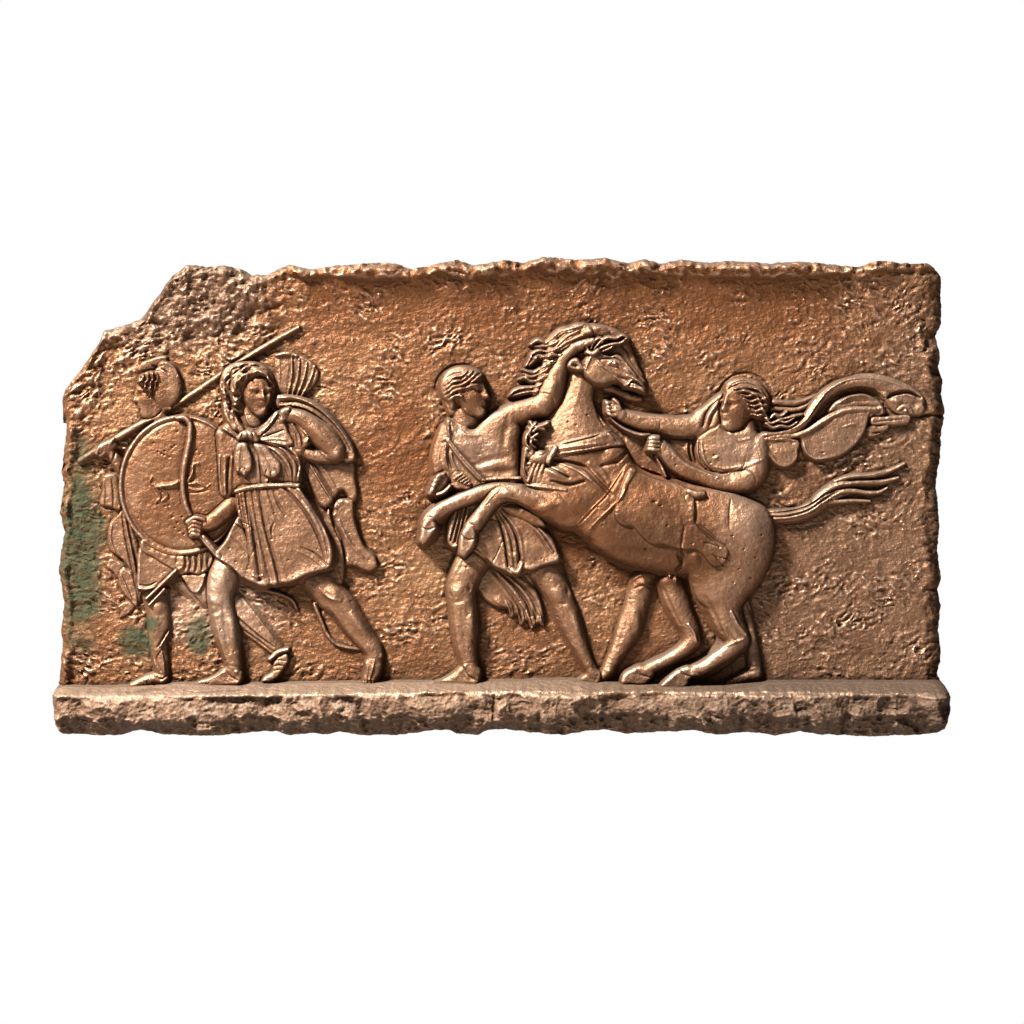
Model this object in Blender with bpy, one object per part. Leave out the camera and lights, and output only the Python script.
"""Relief wall plaque: one bronze casting, a rough slab with a ledge, four figures and a rearing horse.

The front is a field of heights. Limbs, bodies and cloth are laid on it as rounded bars and plates,
from the back to the front, on a fine grid that is then thinned and closed by flat sides and a flat back.
Metres, +Z up, front towards -Y, the origin in the middle of the flat back.
Tables of places are in millimetres on the slab: x from its left end, z up from the line of the feet.
"""
import math

import bmesh
import bpy
import numpy as np

# ---- driving dimensions, millimetres ----
LENGTH = 1000.0            # the slab, end to end
TOP = 470.0                # usual height of the top edge above the feet
BOTTOM = -55.0             # usual height of the bottom edge
MIDDLE_Z = 209.0           # height of the origin above the feet
FIELD = 22.0               # thickness of the slab at the background
RIM_RISE = 12.0            # how far the top rim stands over the background
RIM_WIDTH = 15.0
LEDGE_RISE = 40.0          # how far the ledge stands over the background
LEDGE_DROP = 12.0          # fall of the ledge's top, back to front
BULGE = 4.0                # belly of the rock front under the ledge
TUCK = 24.0                # how far the foot of the rock front turns back under
EDGE_FALL = 9.0            # worn ends of the slab: how much thinner they get
EDGE_WIDTH = 14.0
CAVETTO = 9.0              # hollow curve between background and rim

# ---- making ----
COLUMNS, ROWS = 420, 225   # fine grid that is shaped
TRIANGLES = 8400           # what the front keeps after thinning
STEEP = 3.0                # steepest side of a raised form
EDGE_OF_DOME = 0.97
CURVE_STEPS = 5
MM = 0.001

BRONZE = {"colour": (0.30, 0.165, 0.10, 1.0), "roughness": 0.45, "metallic": 1.0}

# ---- outline of the slab ----
TOP_EDGE = [(0, 285), (5, 303), (8, 330), (24, 350), (46, 382), (52, 397), (92, 409), (118, 443), (146, 469), (190, 469),
            (220, 458), (262, 470), (285, 464), (365, 471), (400, 464), (450, 474), (505, 474), (552, 477), (640, 471),
            (700, 475), (800, 470), (900, 466), (925, 473), (975, 470), (990, 460), (1000, 440)]
BOTTOM_EDGE = [(0, -40), (8, -53), (60, -58), (95, -51), (148, -56), (248, -53), (290, -57), (350, -58), (430, -50),
               (462, -57), (490, -50), (560, -56), (605, -52), (650, -57), (715, -51), (760, -56), (835, -52),
               (920, -59), (975, -57), (992, -50), (1000, -42)]
LEFT_EDGE = [(-60, 10), (-45, 3), (-10, 0), (50, 4), (90, 6), (125, 0), (190, 2), (238, 4), (285, 9), (302, 5), (480, 5)]
RIGHT_EDGE = [(-60, 988), (-25, 1000), (15, 992), (115, 996), (150, 992), (250, 995), (305, 1000), (355, 993), (390, 990),
              (440, 995), (480, 995)]
LEDGE_BACK = [(0, -3), (60, -4), (150, 0), (350, 2), (560, 4), (700, -1), (820, 2), (1000, 2)]
RIM_FOOT = [(0, 470), (270, 452), (345, 452), (430, 459), (480, 452), (535, 463), (660, 456), (800, 453), (900, 459),
            (1000, 462)]


def smooth_line(points, closed=False):
    """A Catmull-Rom line through the points, with every further value of a row carried along."""
    rows = np.array(points, float)
    if len(rows) < 3:
        return rows
    if closed:
        rows = np.vstack([rows[-1:], rows, rows[:2]])
    else:
        rows = np.vstack([2 * rows[0] - rows[1], rows, 2 * rows[-1] - rows[-2]])
    t = np.linspace(0, 1, CURVE_STEPS, endpoint=False)[:, None]
    pieces = []
    for a, b, c, d in zip(rows, rows[1:], rows[2:], rows[3:]):
        pieces.append(0.5 * (2 * b + (c - a) * t + (2 * a - 5 * b + 4 * c - d) * t**2 + (3 * b - a - 3 * c + d) * t**3))
    if not closed:
        pieces.append(rows[-2:-1])
    return np.vstack(pieces)


def oval(x, z, half_width, half_height, points=28):
    """An ellipse as a closed outline."""
    turns = [2 * math.pi * i / points for i in range(points)]
    return [(x + half_width * math.cos(a), z + half_height * math.sin(a)) for a in turns]


def along(table, at):
    """Straight-line reading of a table of (place, value) rows."""
    places, values = zip(*table)
    return np.interp(at, places, values)


class Relief:
    """Heights over the background, on points of the slab, and the forms laid on them."""

    def __init__(self, x, z):
        self.x = x
        self.z = z
        self.height = np.zeros(len(x))

    def near(self, line, margin):
        low = line[:, :2].min(0) - margin
        high = line[:, :2].max(0) + margin
        inside_x = (self.x > low[0]) & (self.x < high[0])
        return np.flatnonzero(inside_x & (self.z > low[1]) & (self.z < high[1]))

    def foot(self, near, a, b):
        """The share of the way from a to b that lies nearest, and the distance to it."""
        dx, dz = b[0] - a[0], b[1] - a[1]
        x, z = self.x[near] - a[0], self.z[near] - a[1]
        share = np.clip((x * dx + z * dz) / max(dx * dx + dz * dz, 1e-9), 0, 1)
        return share, np.hypot(x - share * dx, z - share * dz)

    def raise_to(self, near, new, blend):
        old = self.height[near]
        if blend:
            meet = np.maximum(blend - np.abs(old - new), 0) / blend
            self.height[near] = np.maximum(old, new) + meet * meet * blend / 4
        else:
            self.height[near] = np.maximum(old, new)

    def limb(self, path, blend=0.0):
        """A rounded bar. Rows of path: x, z, half width, height of its back."""
        line = smooth_line(path)
        near = self.near(line, line[:, 2].max() + 12)
        best = np.full(len(near), -99.0)
        thin = math.sqrt(1 - EDGE_OF_DOME**2)
        for a, b in zip(line, line[1:]):
            share, distance = self.foot(near, a, b)
            half = a[2] + share * (b[2] - a[2])
            back = a[3] + share * (b[3] - a[3])
            dome = (np.sqrt(1 - (EDGE_OF_DOME * np.minimum(distance / half, 1)) ** 2) - thin) / (1 - thin)
            deep = np.minimum(half, back)
            best = np.maximum(best, back - deep + deep * dome - STEEP * np.maximum(distance - half, 0))
        self.raise_to(near, best, blend)

    def plate(self, outline, height, edge, rim, blend=0.0):
        """A filled shape that rises from edge to height over the width of its rim."""
        loop = smooth_line(outline, closed=True)
        near = self.near(loop, 10)
        x, z = self.x[near], self.z[near]
        distance = np.full(len(near), 1e9)
        odd = np.zeros(len(near), bool)
        for a, b in zip(loop, np.roll(loop, -1, 0)):
            distance = np.minimum(distance, self.foot(near, a, b)[1])
            if a[1] != b[1]:
                crossing = a[0] + (z - a[1]) * (b[0] - a[0]) / (b[1] - a[1])
                odd ^= ((a[1] > z) != (b[1] > z)) & (x < crossing)
        inward = np.where(odd, distance, -distance)
        rise = np.clip(inward / rim, 0, 1)
        new = edge + (height - edge) * np.sqrt(1 - (1 - rise) ** 2) + STEEP * np.minimum(inward, 0)
        self.raise_to(near, new, blend)

    def ridge(self, path, height):
        """A fold or, with a negative height, a furrow. Rows of path: x, z, half width."""
        line = smooth_line(path)
        near = self.near(line, line[:, 2].max())
        distance = np.full(len(near), 1e9)
        width = np.ones(len(near))
        for a, b in zip(line, line[1:]):
            share, away = self.foot(near, a, b)
            width = np.where(away < distance, a[2] + share * (b[2] - a[2]), width)
            distance = np.minimum(distance, away)
        self.height[near] += height * np.clip(1 - (distance / width) ** 2, 0, 1)

    def folds(self, tops, hems, height, width):
        """Straight folds, one from each point of tops to its partner in hems."""
        for (x0, z0), (x1, z1) in zip(tops, hems):
            self.ridge([(x0, z0, width * 0.5), (x1, z1, width)], height)


def shield_bearer(relief):
    relief.limb([(30, 252, 2.6, 9), (262, 398, 2.2, 8)])
    relief.plate([(65, 262), (50, 248), (61, 232), (47, 200), (60, 180), (57, 150), (75, 128), (70, 103), (66, 78),
                  (88, 88), (92, 110), (100, 160), (95, 200), (85, 260)], 14, 6, 4)
    relief.limb([(150, 118, 20, 13), (212, 72, 17, 16), (235, 47, 12, 16), (250, 28, 10, 15), (243, 6, 9, 14)], 3)
    relief.limb([(112, 290, 12, 14), (104, 296, 8.5, 18), (85, 289, 7, 19), (50, 264, 5.5, 20)], 3)
    relief.limb([(114, 292, 13, 14), (116, 318, 13, 18)], 3)
    relief.limb([(118, 322, 22, 24), (119, 336, 23.5, 25), (117, 345, 19, 24)], 4)
    relief.limb([(96, 328, 6, 20), (95, 312, 7, 20), (98, 306, 5, 18)], 5)
    relief.plate([(92, 152), (125, 154), (172, 143), (170, 128), (138, 124), (128, 108), (108, 103), (93, 118)], 22, 9, 8)
    relief.limb([(113, 126, 19, 22), (110, 98, 13.5, 22), (114, 75, 14, 23), (116, 30, 8, 20), (119, 13, 10, 20)], 4)
    relief.limb([(122, 7, 9, 20), (105, 5, 7, 20), (88, 1, 4.5, 16)], 4)
    relief.limb([(137, 127, 2.6, 26), (102, 92, 2.6, 25)])
    relief.plate(oval(140, 223, 72, 82), 24, 14, 6)
    relief.plate(oval(139, 227, 57, 69), 29, 24, 26)
    relief.limb([(145, 298, 3, 33), (150, 270, 4, 34), (145, 220, 4, 35), (153, 187, 4, 32)])


def archer(relief):
    relief.plate([(318, 262), (330, 255), (337, 225), (341, 178), (351, 148), (361, 139), (357, 128), (332, 131),
                  (322, 120), (306, 196), (285, 215), (290, 250)], 16, 7, 5)
    relief.limb([(312, 128, 24, 14), (322, 104, 19, 15), (346, 58, 13, 18), (355, 38, 11, 18), (358, 8, 10, 18)], 3)
    relief.limb([(205, 335, 18, 18), (205, 300, 16, 17), (192, 290, 10, 16)], 3)
    relief.plate([(203, 300), (185, 290), (181, 275), (185, 245), (205, 205), (272, 210), (282, 250), (272, 290),
                  (255, 308), (232, 306)], 28, 12, 14)
    relief.limb([(186, 268, 10, 24), (192, 222, 13, 26), (186, 203, 11, 28), (158, 176, 9, 29), (150, 172, 8, 28)], 3)
    relief.limb([(266, 292, 13, 27), (292, 276, 14, 27), (308, 256, 12, 28), (288, 264, 9, 29), (258, 302, 8, 31)], 3)
    relief.plate([(262, 312), (302, 298), (334, 265), (335, 248), (322, 244), (292, 284), (272, 298)], 24, 14, 5)
    relief.plate([(203, 216), (213, 170), (200, 150), (183, 146), (184, 138), (228, 116), (262, 115), (306, 131),
                  (309, 160), (286, 200), (273, 220)], 27, 14, 9)
    relief.folds([(222, 212), (232, 212), (246, 212), (256, 212)], [(232, 120), (252, 118), (276, 126), (298, 140)], 4, 6)
    relief.limb([(210, 160, 20, 24), (188, 115, 19, 26), (184, 92, 17.5, 27), (189, 50, 13, 24), (200, 14, 10, 22)], 3)
    relief.limb([(202, 8, 10, 22), (183, 5, 8, 21), (160, 0, 5, 16)], 4)
    relief.limb([(165, 165, 4, 27), (185, 145, 4, 26)])
    relief.limb([(219, 285, 17, 25), (220, 315, 15, 27)], 3)
    relief.limb([(200, 330, 17, 22), (205, 345, 16, 22), (216, 350, 12, 22)], 4)
    relief.limb([(222, 318, 14, 28), (222, 330, 18, 31), (223, 338, 18, 30)], 5)
    relief.limb([(235, 268, 8, 34), (232, 240, 6, 33)], 2)
    relief.limb([(214, 262, 7, 33), (212, 240, 6, 32)], 2)
    relief.plate([(248, 328), (264, 336), (285, 362), (262, 370), (246, 345)], 14, 8, 4)


def near_groom(relief):
    relief.plate([(478, 130), (492, 94), (520, 74), (546, 80), (532, 65), (560, 90), (550, 130)], 12, 5, 4)
    relief.limb([(548, 130, 17, 17), (567, 85, 13, 20), (578, 60, 11.5, 20), (602, 12, 9.5, 18), (580, 2, 5, 14)], 3)
    relief.limb([(457, 290, 15, 20), (457, 305, 15, 22)], 3)
    relief.limb([(495, 285, 16, 25), (525, 302, 13, 25), (556, 325, 14, 26), (568, 363, 9.5, 25), (600, 380, 7.5, 25)], 4)
    relief.plate([(438, 290), (424, 265), (428, 240), (452, 200), (500, 188), (524, 196), (528, 232), (522, 285),
                  (500, 300), (455, 296)], 28, 12, 14, 3)
    relief.plate([(456, 200), (450, 168), (475, 149), (490, 136), (525, 125), (565, 139), (558, 166), (530, 200),
                  (500, 208)], 27, 13, 9)
    relief.folds([(492, 196), (508, 196), (522, 192)], [(508, 132), (532, 132), (556, 150)], 4, 6)
    relief.limb([(478, 160, 22, 24), (455, 115, 17, 27), (458, 75, 16, 26), (461, 28, 11, 22), (463, 14, 10, 21)], 3)
    relief.limb([(466, 8, 9, 21), (448, 6, 8, 21), (430, 0, 5, 15)], 4)
    relief.limb([(434, 258, 10, 24), (426, 244, 9, 26), (430, 228, 12, 29)], 3)
    relief.limb([(455, 322, 20, 24), (457, 333, 22, 25)], 4)
    relief.limb([(468, 330, 17, 27), (470, 315, 13, 26), (472, 308, 9, 25)], 5)


def horse(relief):
    relief.limb([(795, 178, 13, 12), (840, 192, 9, 13), (885, 216, 11, 14), (915, 220, 11, 12), (945, 236, 6, 10)], 2)
    relief.limb([(520, 215, 14, 30), (470, 212, 9, 31), (445, 202, 8, 30), (424, 185, 8, 28), (416, 168, 9, 26)], 2)
    relief.limb([(690, 130, 20, 12), (690, 104, 16, 14), (707, 62, 10, 16), (714, 44, 10, 17), (678, 18, 7, 17),
                 (648, 8, 9, 17)], 2)
    relief.plate([(575, 250), (600, 262), (640, 262), (680, 229), (740, 220), (783, 204), (804, 178), (798, 132),
                  (772, 100), (745, 100), (700, 130), (660, 125), (610, 146), (580, 174), (565, 215)], 30, 10, 34)
    relief.limb([(765, 165, 37, 30), (742, 115, 26, 27), (755, 72, 15, 25), (763, 52, 11.5, 24), (722, 20, 8, 23),
                 (696, 4, 9, 21)], 4)
    relief.limb([(600, 232, 44, 28), (592, 262, 33, 27), (592, 318, 24, 27), (598, 345, 22, 28)], 5)
    relief.limb([(590, 212, 30, 31), (565, 200, 23, 33), (512, 215, 11.5, 34), (484, 196, 8, 33), (465, 160, 9.5, 30)], 4)
    relief.limb([(600, 355, 27, 30), (620, 348, 20, 31), (652, 330, 11.5, 29)], 4)
    for x, z, tip_x, tip_z in ((600, 388, 570, 396), (585, 380, 535, 383), (580, 368, 525, 362), (578, 355, 520, 345),
                               (574, 340, 510, 326), (572, 322, 540, 310), (566, 300, 525, 292), (556, 285, 525, 262)):
        relief.limb([(x, z, 6, 24), (tip_x, tip_z, 3, 13)], 2)
    relief.folds([(560, 258), (645, 245)], [(637, 272), (580, 170)], 3, 7)


def far_groom(relief):
    relief.plate([(793, 283), (820, 283), (855, 315), (890, 340), (935, 340), (970, 325), (990, 303), (962, 280),
                  (915, 282), (890, 258), (852, 248), (825, 262), (800, 250), (790, 262)], 16, 7, 7)
    relief.folds([(835, 268), (845, 260), (860, 256)], [(918, 316), (930, 300), (912, 286)], 3, 6)
    relief.limb([(672, 140, 20, 9), (651, 90, 14, 11), (636, 45, 12, 12), (618, 8, 8, 12), (604, 2, 6, 10)], 2)
    relief.limb([(778, 85, 5, 12), (784, 40, 9, 14), (785, 10, 9, 14), (752, 1, 4, 10)], 2)
    relief.plate([(720, 285), (728, 240), (742, 224), (800, 220), (803, 245), (790, 290), (735, 300)], 22, 10, 12, 2)
    relief.limb([(730, 295, 13, 20), (670, 290, 10, 20), (632, 300, 6.5, 21), (620, 312, 5, 22)], 3)
    relief.limb([(795, 262, 12, 24), (792, 235, 14, 26), (750, 222, 11, 27), (690, 252, 10, 28), (668, 268, 8, 28)], 3)
    relief.limb([(778, 275, 14, 22), (776, 292, 15, 24)], 3)
    relief.limb([(778, 312, 25, 27), (780, 322, 22, 27)], 4)
    relief.limb([(766, 308, 17, 29), (764, 298, 13, 28)], 4)


def rock(x, z, size):
    """Broken stone: overlapping waves of several turns, from -1 to 1, a facet about as wide as size."""
    total = np.zeros(len(x))
    for step, turn in enumerate((0.4, 1.3, 2.2, 3.0)):
        lead = x * math.cos(turn) + z * math.sin(turn)
        cross = z * math.cos(turn) - x * math.sin(turn)
        wave = 2 * math.pi / (size * (1 + 0.37 * step))
        total += 2 * np.abs(np.sin(lead * wave + 1.7 * np.sin(cross * wave * 0.61 + step))) - 1
    return total / 4


def slab(x, z):
    """Heights of the bare slab over its background: rim, ledge, worn ends."""
    top, rim_foot, ledge = along(TOP_EDGE, x), along(RIM_FOOT, x), along(LEDGE_BACK, x)
    left, right = along(LEFT_EDGE, z), along(RIGHT_EDGE, z)
    height = 0.7 * rock(x, z, 60)
    over = np.clip((z - np.minimum(rim_foot, top - RIM_WIDTH) + CAVETTO) / CAVETTO, 0, 1)
    broken = np.clip((290 - x) / 90, 0, 1)
    height += over**2 * (RIM_RISE * (1 - 0.6 * broken) + 3 * rock(x, z, 34))
    end = np.clip(1 - np.minimum(x - left, right - x) / EDGE_WIDTH, 0, 1)
    height -= end * end * (EDGE_FALL + 3 * rock(x, z, 47))
    height -= 6 * np.clip(1 - (top - z) / 8, 0, 1) ** 2
    below = ledge - z
    shelf = LEDGE_RISE * np.clip(below / LEDGE_DROP, 0, 1)
    under = np.clip((below - LEDGE_DROP) / (-BOTTOM - LEDGE_DROP), 0, 1)
    front = shelf + (BULGE * np.sin(math.pi * under) + 6 * rock(x, z, 52)) * (under > 0) - TUCK * under**2.5
    return np.where(below > 0, front - 6 * end, height)


def front_sheet():
    """The whole front as an open mesh of fine squares, shaped and thinned."""
    u, v = np.meshgrid(np.linspace(0, 1, COLUMNS + 1), np.linspace(0, 1, ROWS + 1))
    x = u.ravel() * LENGTH
    z = along(BOTTOM_EDGE, x) + v.ravel() * (along(TOP_EDGE, x) - along(BOTTOM_EDGE, x))
    x = along(LEFT_EDGE, z) + u.ravel() * (along(RIGHT_EDGE, z) - along(LEFT_EDGE, z))
    relief = Relief(x, z)
    ground = slab(x, z)
    relief.height = ground.copy()
    for figure in (shield_bearer, far_groom, near_groom, horse, archer):
        figure(relief)
    height = np.where(z < along(LEDGE_BACK, x) - LEDGE_DROP, ground, np.maximum(relief.height, ground))

    mesh = bpy.data.meshes.new("relief_plaque")
    places = np.column_stack([x - LENGTH / 2, -(FIELD + height), z - MIDDLE_Z]) * MM
    first = (np.arange(ROWS)[:, None] * (COLUMNS + 1) + np.arange(COLUMNS)).ravel()
    squares = np.column_stack([first, first + 1, first + COLUMNS + 2, first + COLUMNS + 1])
    mesh.from_pydata(places.tolist(), [], squares.tolist())
    plaque = bpy.data.objects.new("relief_plaque", mesh)
    bpy.context.collection.objects.link(plaque)
    thin = plaque.modifiers.new("thin", "DECIMATE")
    thin.ratio = TRIANGLES / (2 * COLUMNS * ROWS)
    bpy.context.view_layer.objects.active = plaque
    plaque.select_set(True)
    bpy.ops.object.modifier_apply(modifier=thin.name)
    return plaque


def close_back(plaque):
    """Flat sides straight back from the front's border, and one flat back."""
    body = bmesh.new()
    body.from_mesh(plaque.data)
    border = [edge for edge in body.edges if edge.is_boundary]
    sides = bmesh.ops.extrude_edge_only(body, edges=border)["geom"]
    for vertex in [item for item in sides if isinstance(item, bmesh.types.BMVert)]:
        vertex.co.y = 0.0
    border = [edge for edge in body.edges if edge.is_boundary]
    back = bmesh.ops.edgeloop_fill(body, edges=border)["faces"]
    bmesh.ops.triangulate(body, faces=back + [face for face in body.faces if len(face.verts) == 4])
    bmesh.ops.recalc_face_normals(body, faces=body.faces)
    body.to_mesh(plaque.data)
    body.free()


def paint(plaque, name, colour, roughness, metallic):
    material = bpy.data.materials.new(name)
    material.use_nodes = True
    shader = material.node_tree.nodes["Principled BSDF"]
    shader.inputs["Base Color"].default_value = colour
    shader.inputs["Roughness"].default_value = roughness
    shader.inputs["Metallic"].default_value = metallic
    plaque.data.materials.append(material)


def main():
    for item in list(bpy.data.objects):
        bpy.data.objects.remove(item)
    plaque = front_sheet()
    close_back(plaque)
    plaque.data.shade_smooth()
    plaque.data.set_sharp_from_angle(angle=math.radians(40))
    paint(plaque, "bronze", **BRONZE)


main()
